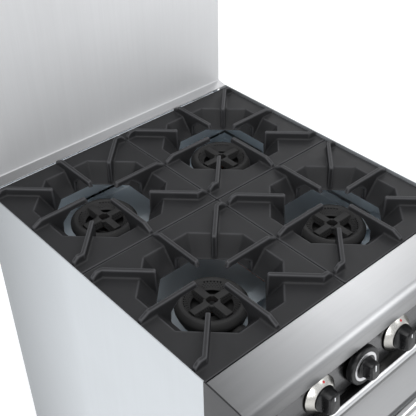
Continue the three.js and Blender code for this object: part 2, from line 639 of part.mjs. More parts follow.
const RACK_Z = OVEN_LOW + 150;
const RACK_FRONT = FRAME_FRONT + 30;
const RACK_BACK = OVEN_BACK - 30;
function buildRackGuides() {
  const wire = 3;
  for (const [name, side] of SIDES) {
    const x = side * (OVEN_HALF - 8);
    const pieces = [];
    for (const y of [RACK_FRONT + 20, (RACK_FRONT + RACK_BACK) / 2, RACK_BACK - 20]) {
      pieces.push(rod([x, y, OVEN_LOW + 8], [x, y, OVEN_TOP - 30], wire, 6));
    }
    for (const level of [0, 1, 2]) {
      const z = RACK_Z - 90 + level * 90 - 7;
      pieces.push(rod([x - side * 3, RACK_FRONT, z], [x - side * 3, RACK_BACK, z], wire, 6));
    }
    place(`rack_guide_${name}`, joined(...pieces), nickel());
  }
}

function buildRack() {
  const half = OVEN_HALF - 16;
  const wire = 3;
  const frame = [
    rod([-half, RACK_FRONT, RACK_Z], [half, RACK_FRONT, RACK_Z], wire, 6),
    rod([-half, RACK_BACK, RACK_Z], [half, RACK_BACK, RACK_Z], wire, 6),
    rod([-half, RACK_FRONT, RACK_Z], [-half, RACK_BACK, RACK_Z], wire, 6),
    rod([half, RACK_FRONT, RACK_Z], [half, RACK_BACK, RACK_Z], wire, 6),
  ];
  const bars = 9;
  for (let i = 1; i < bars; i += 1) {
    const x = -half + (2 * half * i) / bars;
    frame.push(rod([x, RACK_FRONT, RACK_Z + 1.5], [x, RACK_BACK, RACK_Z + 1.5], 2, 5));
  }
  place("oven_rack", joined(...frame), nickel());
}

function buildOvenBurner() {
  const z = 300;
  const front = COOK_FRONT + 30;
  const back = OVEN_BACK - 60;
  const tube = bentRod([[-90, back, z], [-90, front, z], [90, front, z], [90, back, z]], 17, 60);
  place("oven_burner", tube, castIron());
}

// ---- Oven door ----------------------------------------------------------------------------
const INNER_HALF = 282;
function buildDoor() {
  const skin = 12;
  const pan = cut(
    block(-DOOR_HALF, DOOR_HALF, DOOR_FRONT, DOOR_FRONT + skin, DOOR_LOW, DOOR_TOP),
    block(-DOOR_HALF + SHEET, DOOR_HALF - SHEET, DOOR_FRONT + SHEET, DOOR_FRONT + skin + 1,
      DOOR_LOW + SHEET, DOOR_TOP - SHEET),
  );
  place("door_outer", pan, stainless());
  const y0 = DOOR_FRONT + skin + GAP;
  const inner = cut(
    block(-INNER_HALF, INNER_HALF, y0, DOOR_BACK, DOOR_LOW, DOOR_TOP - 4),
    block(-INNER_HALF + SHEET, INNER_HALF - SHEET, y0 - 1, DOOR_BACK - SHEET, DOOR_LOW + SHEET, DOOR_TOP - 6),
  );
  const bores = SIDES.map(([, side]) =>
    rod([side * (INNER_HALF - 12), HINGE_Y, HINGE_Z], [side * (INNER_HALF + 12), HINGE_Y, HINGE_Z], 4.6));
  place("door_inner", cut(inner, ...bores), stainless());
  const outer = OVEN_HALF + 14;
  const inside = OVEN_HALF + 6;
  const gasket = cut(
    block(-outer, outer, FRAME_FRONT - 3.5, FRAME_FRONT - 0.3, OVEN_LOW - 14, OVEN_TOP + 14),
    block(-inside, inside, FRAME_FRONT - 5, FRAME_FRONT + 1, OVEN_LOW - 6, OVEN_TOP + 6),
  );
  place("door_gasket", gasket, glassRope());
}

function buildHinges() {
  for (const [name, side] of SIDES) {
    const plate = sideBlock(side, INNER_HALF + 8, INNER_HALF + 3, HINGE_Y - 7, FRAME_FRONT - 0.3,
      HINGE_Z - 6, HINGE_Z + 16);
    const pin = rod([side * (INNER_HALF + 5), HINGE_Y, HINGE_Z], [side * (INNER_HALF - 9), HINGE_Y, HINGE_Z],
      4);
    place(`door_hinge_${name}`, joined(plate, pin), darkSteel());
  }
}

function buildHandle() {
  const reach = 236;
  const bar = rod([-reach - 16, HANDLE_Y, HANDLE_Z], [reach + 16, HANDLE_Y, HANDLE_Z], HANDLE_RADIUS, 14);
  const posts = SIDES.map(([, side]) =>
    rod([side * reach, HANDLE_Y, HANDLE_Z], [side * reach, DOOR_FRONT - 0.4, HANDLE_Z], 9));
  place("door_handle", joined(bar, ...posts), stainless());
}

// ---- Flue riser ---------------------------------------------------------------------------
function buildRiser() {
  const top = COOK_HEIGHT + RISER_HEIGHT;
  const face = [[COOK_BACK - 0.5, COOK_HEIGHT - 1], [RISER_FRONT, COOK_HEIGHT + 3], [RISER_FRONT, top],
    [RISER_FRONT + 14, top], [RISER_FRONT + 14, top - SHEET], [RISER_FRONT + SHEET, top - SHEET],
    [RISER_FRONT + SHEET, COOK_HEIGHT + 1.5], [COOK_BACK - 0.5, COOK_HEIGHT - 2.5]];
  place("riser_front", profileAlongX(face, -SIDE_X, SIDE_X), stainless());
  const low = COOK_HEIGHT - 34;
  const y0 = RISER_FRONT + SHEET + GAP;
  const box = cut(
    block(-SIDE_X, SIDE_X, y0, RISER_BACK, low, top - SHEET - GAP),
    block(-SIDE_X + SHEET, SIDE_X - SHEET, y0 - 1, RISER_BACK - SHEET, low - 1, top),
  );
  const straps = [low, top - 30].map((z) =>
    block(-SIDE_X, SIDE_X, y0 + 12, RISER_BACK, z, z + SHEET));
  const mouth = block(-SIDE_X + 20, SIDE_X - 20, y0 + 14, RISER_BACK - 8, low - 5, top + 5);
  place("riser_back", joined(box, ...straps.map((strap) => cut(strap, mouth))), aluminised());
}

buildBase();
buildLegs();
buildSidePanels();
buildRearPanel();
buildFrontFrame();
buildLowerFront();
buildFrontRail();
buildEndCaps();
buildPanels();
buildManifold();
buildValves();
buildKnobs();
buildBurnerBox();
buildGrates();
buildBurners();
buildPilots();
buildDripTray();
buildDeck();
buildOven();
buildRackGuides();
buildRack();
buildOvenBurner();
buildDoor();
buildHinges();
buildHandle();
buildRiser();

export default range;
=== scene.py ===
# The looks of a 24 inch restaurant gas range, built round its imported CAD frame.
# Lengths in the frame are metres; MM turns the millimetre sizes of small details into metres.
import json
import math

import bmesh
import bpy
from mathutils import Matrix, Vector


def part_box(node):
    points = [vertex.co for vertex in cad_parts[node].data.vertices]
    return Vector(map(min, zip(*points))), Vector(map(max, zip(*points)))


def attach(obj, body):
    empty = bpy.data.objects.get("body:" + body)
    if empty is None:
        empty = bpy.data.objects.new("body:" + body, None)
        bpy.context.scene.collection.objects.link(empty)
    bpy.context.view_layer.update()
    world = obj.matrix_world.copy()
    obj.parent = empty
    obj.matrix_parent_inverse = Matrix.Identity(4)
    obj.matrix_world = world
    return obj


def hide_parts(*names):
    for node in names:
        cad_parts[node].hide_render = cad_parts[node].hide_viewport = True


MM = 0.001
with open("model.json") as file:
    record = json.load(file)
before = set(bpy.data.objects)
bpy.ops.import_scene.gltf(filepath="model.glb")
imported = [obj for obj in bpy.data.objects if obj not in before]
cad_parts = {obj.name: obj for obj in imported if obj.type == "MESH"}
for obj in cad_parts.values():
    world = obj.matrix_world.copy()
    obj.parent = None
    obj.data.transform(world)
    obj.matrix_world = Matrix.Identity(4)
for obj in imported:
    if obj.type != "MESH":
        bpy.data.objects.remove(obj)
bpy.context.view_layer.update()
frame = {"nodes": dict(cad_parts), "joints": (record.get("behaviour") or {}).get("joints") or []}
nodes = frame["nodes"]
joints = {joint["name"]: joint for joint in frame["joints"]}

CORNERS = ("front_left", "front_right", "rear_left", "rear_right")
SIDES = ("left", "right")
ROOT = "range_body"
DOOR = "oven_door"


# ---- Materials ----------------------------------------------------------------------------
class Finish:
    """A procedural material: its nodes are added to and linked into one Principled shader."""

    def __init__(self, name, colour, roughness, metallic=0.0, **shader):
        self.material = bpy.data.materials.new(name)
        self.material.use_nodes = True
        self.tree = self.material.node_tree
        self.shader = self.tree.nodes["Principled BSDF"]
        self.colour = colour
        self.roughness = roughness
        self.shader.inputs["Base Color"].default_value = (*colour, 1)
        self.shader.inputs["Roughness"].default_value = roughness
        self.shader.inputs["Metallic"].default_value = metallic
        for socket, value in shader.items():
            self.shader.inputs[socket.replace("_", " ")].default_value = value
        self.place = self.add("ShaderNodeTexCoord").outputs["Object"]

    def add(self, kind, inputs=None, **settings):
        """A node with its settings; an input is either a value or another node's output to link."""
        node = self.tree.nodes.new(kind)
        for name, value in settings.items():
            setattr(node, name, value)
        for socket, value in (inputs or {}).items():
            if isinstance(value, bpy.types.NodeSocket):
                self.tree.links.new(value, node.inputs[socket])
            else:
                node.inputs[socket].default_value = value
        return node

    def noise(self, scale, detail, stretch=(1, 1, 1)):
        """Noise with its features stretched: a small number is a long feature along that axis."""
        mapping = self.add("ShaderNodeMapping", {"Vector": self.place, "Scale": stretch})
        inputs = {"Vector": mapping.outputs["Vector"], "Scale": scale, "Detail": detail, "Roughness": 0.6}
        return self.add("ShaderNodeTexNoise", inputs).outputs["Fac"]

    def remap(self, value, low, high, new_low, new_high):
        """Stretches the range from low to high onto a new one, and holds what lies outside at its ends."""
        inputs = {"Value": value, "From Min": low, "From Max": high, "To Min": new_low, "To Max": new_high}
        return self.add("ShaderNodeMapRange", inputs, clamp=True).outputs["Result"]

    def plus(self, one, other):
        return self.add("ShaderNodeMath", {0: one, 1: other}, operation="ADD").outputs[0]

    def place_along(self, axis):
        return self.add("ShaderNodeSeparateXYZ", {"Vector": self.place}).outputs[axis]

    def vary_colour(self, value, dark, light, low=0.3, high=0.7):
        """The base colour runs from dark times itself to light times itself as value rises."""
        ramp = self.add("ShaderNodeValToRGB", {"Fac": value})
        ramp.color_ramp.elements[0].position = low
        ramp.color_ramp.elements[1].position = high
        ramp.color_ramp.elements[0].color = (*(dark * c for c in self.colour), 1)
        ramp.color_ramp.elements[1].color = (*(light * c for c in self.colour), 1)
        self.tree.links.new(ramp.outputs["Color"], self.shader.inputs["Base Color"])
        return ramp.outputs["Color"]

    def scale_colour(self, colour, amount):
        """The base colour becomes the given colour times an amount that varies over the piece."""
        inputs = {0: colour, "Scale": amount}
        scaled = self.add("ShaderNodeVectorMath", inputs, operation="SCALE").outputs["Vector"]
        self.tree.links.new(scaled, self.shader.inputs["Base Color"])
        return scaled

    def paint_shade_along(self, colour, axis, dark_at, light_at, dark):
        """A painted shade: the colour fades to dark times itself along one axis of the range, between two
        places.
        """
        return self.scale_colour(colour, self.remap(self.place_along(axis), dark_at, light_at, dark, 1.0))

    def vary_roughness(self, value, spread, low=0.3, high=0.7):
        """The roughness runs from spread below to spread above its own value as value rises."""
        result = self.remap(value, low, high, self.roughness - spread, self.roughness + spread)
        self.tree.links.new(result, self.shader.inputs["Roughness"])

    def bump(self, value, depth, strength):
        inputs = {"Height": value, "Distance": depth, "Strength": strength}
        node = self.add("ShaderNodeBump", inputs)
        self.tree.links.new(node.outputs["Normal"], self.shader.inputs["Normal"])


# How noise is stretched to make a grain that runs along an axis.
GRAIN_STRETCH = 0.012
ALONG = {"X": (GRAIN_STRETCH, 1, 1), "Y": (1, GRAIN_STRETCH, 1), "Z": (1, 1, GRAIN_STRETCH)}


def brushed(name, grain, colour, roughness, streak, metallic=1.0, painted_shades=()):
    """Satin stainless sheet with its grain along one axis, faint cloudy handling marks, and fades of
    painted shade.

    Each painted shade says an axis, where the sheet is darkest, where the fade ends, and how dark it gets."""
    steel = Finish(name, colour, roughness, metallic)
    fine = steel.noise(900, 3, ALONG[grain])
    broad = steel.noise(120, 4, ALONG[grain])
    cloud = steel.noise(5, 3)
    lines = steel.plus(fine, broad)
    marks = steel.plus(lines, cloud)
    tone = steel.vary_colour(steel.remap(marks, 0.9, 2.1, 0, 1), 1 - streak, 1 + streak, 0.2, 0.8)
    # Painted light: each fade darkens the sheet as shade, and the band it leaves light reads as a painted
    # highlight.
    for shade in painted_shades:
        tone = steel.paint_shade_along(tone, *shade)
    steel.vary_roughness(lines, 0.04, 0.7, 1.3)
    steel.bump(fine, 0.01 * MM, 0.12)
    return steel.material


def cast_iron(name, colour, roughness, grain, edge_highlight):
    """Sand-cast iron, matte black: a grain in millimetres, cloudy wear, and a painted highlight that makes
    its edges up to rub times as light.
    """
    iron = Finish(name, colour, roughness, metallic=0.0, Specular_IOR_Level=0.3)
    sand = iron.noise(1100, 4)
    patches = iron.noise(22, 5)
    tone = iron.vary_colour(patches, 0.86, 1.14)
    # Painted highlight: sharp edges, picked out by pointiness, are made lighter where light would catch
    # them.
    edge_highlight_mask = iron.add("ShaderNodeNewGeometry").outputs["Pointiness"]
    iron.scale_colour(tone, iron.remap(edge_highlight_mask, 0.502, 0.53, 1.0, edge_highlight))
    iron.vary_roughness(patches, 0.07)
    iron.bump(sand, grain * MM, 0.5)
    return iron.material


def painted_metal(name, colour, roughness):
    """Enamel paint with a little orange peel under a thin clear coat."""
    paint = Finish(name, colour, roughness, metallic=0.0, Coat_Weight=0.25, Coat_Roughness=0.2)
    orange_peel = paint.noise(380, 2)
    paint.vary_colour(paint.noise(14, 4), 0.9, 1.1)
    paint.bump(orange_peel, 0.05 * MM, 0.4)
    return paint.material


def smooth_metal(name, colour, roughness, grain=None):
    """Drawn, plated or machined metal: faint clouding, and a fine grain where one is given."""
    metal = Finish(name, colour, roughness, metallic=1.0)
    cloud = metal.noise(30, 4)
    metal.vary_colour(cloud, 0.93, 1.06)
    metal.vary_roughness(cloud, 0.05)
    if grain:
        metal.bump(metal.noise(700, 3, ALONG[grain]), 0.02 * MM, 0.4)
    else:
        metal.bump(metal.noise(900, 3), 0.01 * MM, 0.3)
    return metal.material


def aluminised():
    """Aluminised sheet: pale and smooth, with a faint spangle."""
    sheet = Finish("aluminised", (0.56, 0.60, 0.64), 0.3, metallic=1.0)
    spangle = sheet.add("ShaderNodeTexVoronoi", {"Vector": sheet.place, "Scale": 140.0}).outputs["Color"]
    split = sheet.add("ShaderNodeSeparateColor", {"Color": spangle}).outputs["Red"]
    sheet.vary_colour(split, 0.92, 1.05, 0.0, 1.0)
    sheet.vary_roughness(split, 0.04, 0.0, 1.0)
    sheet.bump(sheet.noise(60, 3), 0.1 * MM, 0.2)
    return sheet.material


def top_shaded_sheet(name, colour, roughness, lit_below, shaded_above):
    """Plated sheet darkened above a height along its top edge by painted shade, with an uneven border."""
    sheet = Finish(name, colour, roughness, metallic=0.3)
    height = sheet.place_along("Z")
    blotch = sheet.remap(sheet.noise(35, 4), 0.3, 0.7, -2 * MM, 2 * MM)
    # Painted shade: the sheet darkens above a height, where it lies under the grates.
    top_shade_mask = sheet.remap(sheet.plus(height, blotch), lit_below, shaded_above, 0, 1)
    sheet.vary_colour(top_shade_mask, 1.0, 0.12, 0.0, 1.0)
    sheet.bump(sheet.noise(90, 3), 0.05 * MM, 0.3)
    return sheet.material


def moulded(name, colour, roughness):
    """Moulded thermoset: a fine spark-eroded texture and a soft sheen."""
    plastic = Finish(name, colour, roughness, Specular_IOR_Level=0.35)
    plastic.vary_colour(plastic.noise(60, 3), 0.85, 1.2)
    plastic.vary_roughness(plastic.noise(90, 4), 0.06)
    plastic.bump(plastic.noise(1800, 2), 0.03 * MM, 0.5)
    return plastic.material


def vitreous():
    """Oven enamel: dark and glassy, with pale specks."""
    enamel = Finish("enamel", (0.022, 0.024, 0.03), 0.22, Coat_Weight=0.5, Coat_Roughness=0.1)
    specks = enamel.noise(700, 2)
    enamel.vary_colour(specks, 0.6, 3.2, 0.55, 0.78)
    enamel.bump(enamel.noise(120, 3), 0.06 * MM, 0.4)
    return enamel.material


def woven_rope():
    """The door's glass rope: a dull weave."""
    rope = Finish("glass_rope", (0.55, 0.50, 0.38), 0.9, Sheen_Weight=0.3)
    strands = rope.add("ShaderNodeTexWave", {"Vector": rope.place, "Scale": 260.0, "Distortion": 2.0},
                       bands_direction="DIAGONAL").outputs["Fac"]
    rope.vary_colour(strands, 0.7, 1.15)
    rope.bump(strands, 0.3 * MM, 0.8)
    return rope.material


def spun_nickel():
    """Satin nickel plate on the knobs' turned skirts, with a painted shade that darkens them towards their
    lower edges.
    """
    nickel = Finish("spun_nickel", (0.86, 0.84, 0.79), 0.27, metallic=1.0)
    lines = nickel.noise(1500, 3)
    tone = nickel.vary_colour(nickel.noise(40, 3), 0.9, 1.08)
    skirt_low, skirt_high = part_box("knob_skirt_1")
    # Painted shade: darker towards the skirts' lower edges.
    nickel.paint_shade_along(tone, "Z", skirt_low[2] + 20 * MM, skirt_high[2] - 6 * MM, 0.2)
    nickel.vary_roughness(lines, 0.08)
    nickel.bump(lines, 0.02 * MM, 0.5)
    return nickel.material


def floor_paint():
    """The studio's white floor, which glows a little so that it stays white in shadow."""
    paint = Finish("studio_floor", (0.93, 0.93, 0.93), 0.9, Emission_Strength=0.35)
    paint.shader.inputs["Emission Color"].default_value = (1, 1, 1, 1)
    paint.vary_colour(paint.noise(0.6, 2), 0.995, 1.005)
    return paint.material


# Tops of the rail and the tray's lip, which place the painted highlights along the rail's fold and the
# lip's roll.
RAIL_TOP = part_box("front_rail")[1][2]
LIP_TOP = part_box("drip_tray")[1][2]
# Riser: painted shade, darker towards the left and towards its foot.
RISER_STEEL = brushed("riser_steel", "Z", (0.77, 0.773, 0.78), 0.5, 0.03, 0.2,
                      [("X", -0.3, 0.0, 0.82), ("Z", 0.92, 1.15, 0.82)])
# Riser flange: painted shade, darker towards the left.
FLANGE_STEEL = brushed("flange_steel", "X", (0.62, 0.62, 0.625), 0.4, 0.03, 0.9, [("X", -0.28, 0.06, 0.5)])
# Side panels: painted shade, darker towards the rear.
SIDE_STEEL = brushed("side_steel", "Z", (0.59, 0.615, 0.635), 0.5, 0.03, 0.75, [("Y", 0.34, 0.08, 0.58)])
# Rail: painted shade, darker towards both ends and below its fold, which leaves a painted highlight along
# the fold.
RAIL_STEEL = brushed("rail_steel", "X", (0.72, 0.722, 0.728), 0.4, 0.03,
                     painted_shades=[("X", -0.30, -0.08, 0.34), ("X", 0.24, 0.0, 0.6),
                             ("Z", RAIL_TOP - 17 * MM, RAIL_TOP - 8 * MM, 0.5)])
# Control panels: stainless given a dark colour as painted shade in the recess under the rail.
SHADED_PANEL_STEEL = brushed("panel_steel_painted_shade", "X", (0.13, 0.13, 0.132), 0.24, 0.05)
# Tray lip: painted shade darkens it below its roll, which leaves a painted highlight along its top.
LIP_STEEL = brushed("lip_steel", "X", (0.84, 0.842, 0.848), 0.34, 0.03,
                    painted_shades=[("Z", LIP_TOP - 9 * MM, LIP_TOP - 5 * MM, 0.24)])
# Door, front frame and lower front panel: stainless given a dark colour as painted shade.
SHADED_DOOR_STEEL = brushed("door_steel_painted_shade", "X", (0.29, 0.292, 0.298), 0.34, 0.04)
LEG_STEEL = brushed("leg_steel", "Z", (0.6, 0.6, 0.61), 0.3, 0.03)
# End caps: stainless given a near-black colour as painted shade.
SHADED_CAP_STEEL = brushed("cap_steel_painted_shade", "Y", (0.07, 0.07, 0.072), 0.38, 0.05)
DARK_STEEL = painted_metal("dark_steel", (0.055, 0.057, 0.06), 0.42)
# Grate edges carry a painted highlight three times as light.
GRATE_CAST = cast_iron("cast_iron", (0.0185, 0.0185, 0.0197), 0.55, grain=0.16, edge_highlight=3.0)
BURNER_CAST = cast_iron("burner_cast", (0.026, 0.0255, 0.0255), 0.6, grain=0.22, edge_highlight=1.0)
# Port walls: near-black as painted shade inside the ports.
PORT_SHADE = cast_iron("port_shade_black", (0.0015, 0.0015, 0.0015), 0.9, grain=0.05, edge_highlight=1.0)
ALUMINISED = aluminised()
# Bay walls: painted shade darkens them near the top, under the grates.
BAY_SHEET = top_shaded_sheet("bay_sheet", (0.72, 0.80, 0.86), 0.4, lit_below=0.886, shaded_above=0.895)
ENAMEL = vitreous()
BLACK = moulded("black_moulding", (0.005, 0.005, 0.0055), 0.3)
BRASS = smooth_metal("brass", (0.68, 0.49, 0.22), 0.3)
COPPER = smooth_metal("copper", (0.78, 0.36, 0.2), 0.32)
NICKEL = spun_nickel()
POLISHED = smooth_metal("polished_tube", (0.74, 0.74, 0.73), 0.16, grain="X")
CHROME_WIRE = smooth_metal("plated_wire", (0.6, 0.6, 0.6), 0.24)
ROPE = woven_rope()
RED = painted_metal("red_mark", (0.72, 0.02, 0.025), 0.4)
WHITE = painted_metal("white_mark", (0.85, 0.86, 0.87), 0.4)
SILVER_PRINT = smooth_metal("silver_print", (0.72, 0.72, 0.73), 0.4)


# ---- Mesh building ------------------------------------------------------------------------
def new_piece(name, mesh, material, body, replaces=()):
    """Puts a finished mesh in the scene, riding on its CAD body."""
    piece = bpy.data.objects.new(name, mesh)
    bpy.context.scene.collection.objects.link(piece)
    mesh.materials.append(material)
    smooth_by_angle(mesh)
    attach(piece, body)
    if replaces:
        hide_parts(*replaces)
    return piece


def give_faces(piece, material, wanted):
    """A second material for the faces of a piece that a test picks out."""
    piece.data.materials.append(material)
    for face in piece.data.polygons:
        if wanted(face):
            face.material_index = len(piece.data.materials) - 1


def smooth_by_angle(mesh):
    """Smooth shading, with a sharp edge wherever two faces meet at a steep angle."""
    shaped = bmesh.new()
    shaped.from_mesh(mesh)
    limit = math.radians(32)
    for face in shaped.faces:
        face.smooth = True
    for edge in shaped.edges:
        edge.smooth = len(edge.link_faces) == 2 and edge.calc_face_angle(0) < limit
    shaped.to_mesh(mesh)
    shaped.free()


def mesh_from(name, build):
    """A mesh made by a function that fills a bmesh, with its normals facing out."""
    shaped = bmesh.new()
    build(shaped)
    bmesh.ops.recalc_face_normals(shaped, faces=shaped.faces)
    mesh = bpy.data.meshes.new(name)
    shaped.to_mesh(mesh)
    shaped.free()
    return mesh


def add_lathe(shaped, profile, matrix, steps, form=Vector):
    """Turns (radius, height) points round Z; a point on the axis becomes one vertex.

    A form moves each point before the matrix places it."""
    closed = profile[0][0] > 0
    rings = []
    for radius, height in profile:
        if radius == 0:
            rings.append([shaped.verts.new(matrix @ Vector((0, 0, height)))])
            continue
        ring = []
        for i in range(steps):
            angle = 2 * math.pi * i / steps
            turned = Vector((radius * math.cos(angle), radius * math.sin(angle), height))
            ring.append(shaped.verts.new(matrix @ form(turned)))
        rings.append(ring)
    pairs = list(zip(rings, rings[1:]))
    if closed:
        pairs.append((rings[-1], rings[0]))
    for low, high in pairs:
        for i in range(steps):
            j = (i + 1) % steps
            if len(low) == 1 and len(high) == 1:
                break
            if len(low) == 1:
                shaped.faces.new((low[0], high[j], high[i]))
            elif len(high) == 1:
                shaped.faces.new((low[i], low[j], high[0]))
            else:
                shaped.faces.new((low[i], low[j], high[j], high[i]))


def add_sweep(shaped, outline, x0, x1):
    """A closed (y, z) outline drawn along X, with flat ends."""
    ends = []
    for x in (x0, x1):
        ends.append([shaped.verts.new((x, y, z)) for y, z in outline])
    count = len(outline)
    for i in range(count):
        j = (i + 1) % count
        shaped.faces.new((ends[0][i], ends[0][j], ends[1][j], ends[1][i]))
    shaped.faces.new(ends[0])
    shaped.faces.new(ends[1])


def add_block(shaped, low, high, bevel, matrix):
    """A block between two corners with rounded edges, in a frame of its own."""
    size = Vector(high) - Vector(low)
    centre = (Vector(high) + Vector(low)) / 2
    box = Matrix.Translation(centre) @ Matrix.Diagonal((*size, 1))
    made = bmesh.ops.create_cube(shaped, size=1.0, matrix=box)
    edges = {edge for vert in made["verts"] for edge in vert.link_edges}
    done = bmesh.ops.bevel(shaped, geom=list(edges), offset=bevel, segments=2, affect="EDGES", profile=0.5)
    verts = {vert for face in done["faces"] for vert in face.verts}
    bmesh.ops.transform(shaped, matrix=matrix, verts=list(verts))


def arc(centre, radius, start, end, steps):
    """Points on an arc between two angles in degrees."""
    points = []
    for i in range(steps + 1):
        angle = math.radians(start + (end - start) * i / steps)
        points.append((centre[0] + radius * math.cos(angle), centre[1] + radius * math.sin(angle)))
    return points


def add_modifier(piece, kind, **settings):
    modifier = piece.modifiers.new(kind.lower(), kind)
    for name, value in settings.items():
        setattr(modifier, name, value)
    return modifier


def corners_of(name):
    """The lowest and highest corners of a CAD node's box, at rest."""
    low_corner, high_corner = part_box(name)
    return Vector(low_corner), Vector(high_corner)


# ---- CAD nodes that keep their shape ------------------------------------------------------
def dress(name, material, bevel=0.0, segments=2):
    """Gives a CAD node its material, and rounds its edges by a bevel in millimetres."""
    piece = nodes[name]
    piece.data.materials.clear()
    piece.data.materials.append(material)
    if bevel:
        add_modifier(piece, "WELD", merge_threshold=0.01 * MM)
        add_modifier(piece, "BEVEL", width=bevel * MM, segments=segments, limit_method="ANGLE",
                     angle_limit=math.radians(28), use_clamp_overlap=False, harden_normals=True)


def cast_skin(name, material, voxel, rounds):
    """Turns a CAD node's crisp solid into a casting with soft edges; the voxel is in millimetres."""
    piece = nodes[name]
    piece.data.materials.clear()
    piece.data.materials.append(material)
    add_modifier(piece, "REMESH", mode="VOXEL", voxel_size=voxel * MM, use_smooth_shade=True)
    add_modifier(piece, "SMOOTH", factor=0.5, iterations=rounds)


def dress_frame():
    """The pieces that keep their CAD shape, each in its own finish."""
    for side in SIDES:
        dress(f"{side}_side_panel", SIDE_STEEL, 0.4)
        dress(f"{side}_end_cap", SHADED_CAP_STEEL, 0.3)
        dress(f"rack_guide_{side}", CHROME_WIRE)
        dress(f"door_hinge_{side}", DARK_STEEL, 0.6)
    dress("base_frame", DARK_STEEL, 0.8)
    dress("rear_panel", ALUMINISED, 0.3)
    dress("front_frame", SHADED_DOOR_STEEL, 0.5)
    dress("lower_front_panel", SHADED_DOOR_STEEL, 0.4)
    dress("upper_control_panel", SHADED_PANEL_STEEL)
    dress("lower_control_panel", SHADED_PANEL_STEEL)
    dress("gas_manifold", DARK_STEEL)
    dress("oven_thermostat", ALUMINISED, 1.0)
    dress("burner_box", BAY_SHEET)
    dress("pilot_line", COPPER)
    dress("oven_deck", ALUMINISED)
    dress("oven_liner", ENAMEL, 0.5)
    dress("oven_floor_plate", ENAMEL, 1.0)
    dress("oven_rack", CHROME_WIRE)
    dress("oven_burner", BURNER_CAST)
    dress("door_outer", SHADED_DOOR_STEEL, 1.6, 4)
    dress("door_inner", SHADED_DOOR_STEEL, 0.8)
    dress("door_gasket", ROPE, 1.0)
    dress("riser_back", ALUMINISED, 0.3)
    for i in range(1, 5):
        dress(f"burner_valve_{i}", BRASS, 0.5)
    for corner in CORNERS:
        cast_skin(f"grate_{corner}", GRATE_CAST, 1.7, 3)
        cast_skin(f"burner_body_{corner}", BURNER_CAST, 2.0, 4)


# ---- Sheet metal made smooth --------------------------------------------------------------
def make_front_rail():
    """The ledge over the knobs: it folds down over a wide radius and turns in at a hem.

    Its rear flange turns down a little short of the grates, which leaves a dark gap before them."""
    rail_low, rail_high = corners_of("front_rail")
    sheet = 2 * MM
    fold = 18.5 * MM
    fold_at = (rail_low.y + 20 * MM, rail_high.z - 22 * MM)
    hem_corner = 1.2 * MM
    hem_sheet = 1.6 * MM
    hem_end = rail_low.y + 8 * MM
    gap_to_grates = 3.2 * MM
    back = rail_high.y - gap_to_grates
    turn = 2.4 * MM
    turn_at = (back - turn, rail_high.z - turn)
    flange_foot = rail_high.z - 6 * MM
    line = [(back, flange_foot), *arc(turn_at, turn, 0, 90, 6), *arc(fold_at, fold, 93, 172, 24),
            *arc((rail_low.y + hem_corner, rail_low.z + hem_corner), hem_corner, 180, 270, 5),
            (hem_end, rail_low.z)]
    inner = [(hem_end, rail_low.z + hem_sheet), (rail_low.y + sheet, rail_low.z + hem_sheet),
             *arc(fold_at, fold - sheet, 172, 93, 24), *arc(turn_at, turn - sheet, 90, 0, 3),
             (back - sheet, flange_foot)]

    def build(shaped):
        add_sweep(shaped, line + inner, rail_low.x, rail_high.x)

    new_piece("front_rail_sheet", mesh_from("front_rail_sheet", build), RAIL_STEEL, ROOT,
              replaces=("front_rail",))


def tray_lip(tray_low, tray_high):
    """The outline of the tray's rolled front lip, outside and inside."""
    lip_top = tray_high.z
    front = tray_low.y
    sheet = 1.6 * MM
    roll = 9 * MM
    roll_at = (front + roll, lip_top - 0.4 * MM - roll)
    roll_end = front + 6.4 * MM
    hem = tray_low.z + 4.3 * MM
    hem_corner = 1.5 * MM
    hem_end = front + 8 * MM
    outer = [(roll_end, lip_top), *arc(roll_at, roll, 110, 180, 14),
             *arc((front + hem_corner, hem + hem_corner), hem_corner, 180, 270, 5), (hem_end, hem)]
    inner = [(hem_end, hem + sheet), (front + 2.2 * MM, hem + sheet),
             *arc(roll_at, roll - sheet, 180, 110, 14), (roll_end, lip_top - 1.4 * sheet)]
    return outer, inner


def add_pan(shaped, pan_low, pan_high, thick):
    """An open pan: outside walls and floor, inside walls and floor, and the rim between them."""
    def ring(inset, z):
        x0, x1 = pan_low[0] + inset, pan_high[0] - inset
        y0, y1 = pan_low[1] + inset, pan_high[1] - inset
        return [shaped.verts.new(p) for p in ((x0, y0, z), (x1, y0, z), (x1, y1, z), (x0, y1, z))]

    floor, rim = pan_low[2], pan_high[2]
    rings = [ring(2 * thick, floor), ring(0, floor + 2 * thick), ring(0, rim),
             ring(thick, rim), ring(thick, floor + 3 * thick), ring(3 * thick, floor + thick)]
    shaped.faces.new(rings[0][::-1])
    for one, other in zip(rings, rings[1:]):
        for i in range(4):
            j = (i + 1) % 4
            shaped.faces.new((one[i], one[j], other[j], other[i]))
    shaped.faces.new(rings[-1])


def make_drip_tray():
    """The pull-out tray: a rolled front lip, and a shallow pan that slides on the oven's deck."""
    tray_low, tray_high = corners_of("drip_tray")
    deck_top = corners_of("oven_deck")[1].z
    outer, inner = tray_lip(tray_low, tray_high)
    side_gap = 7.5 * MM
    behind_lip = 7.5 * MM
    further_back = 9 * MM
    pan_low = (tray_low.x + side_gap, tray_low.y + behind_lip, deck_top + 0.7 * MM)
    pan_high = (tray_high.x - side_gap, tray_high.y + further_back, deck_top + 17.5 * MM)

    def build(shaped):
        add_sweep(shaped, outer + inner, tray_low.x, tray_high.x)
        add_pan(shaped, pan_low, pan_high, 1.0 * MM)

    def in_pan(face):
        return face.center.z < pan_high[2] + 1 * MM and face.center.y > pan_low[1]

    piece = new_piece("drip_tray_sheet", mesh_from("drip_tray_sheet", build), LIP_STEEL, "tray",
                      replaces=("drip_tray",))
    give_faces(piece, BAY_SHEET, in_pan)


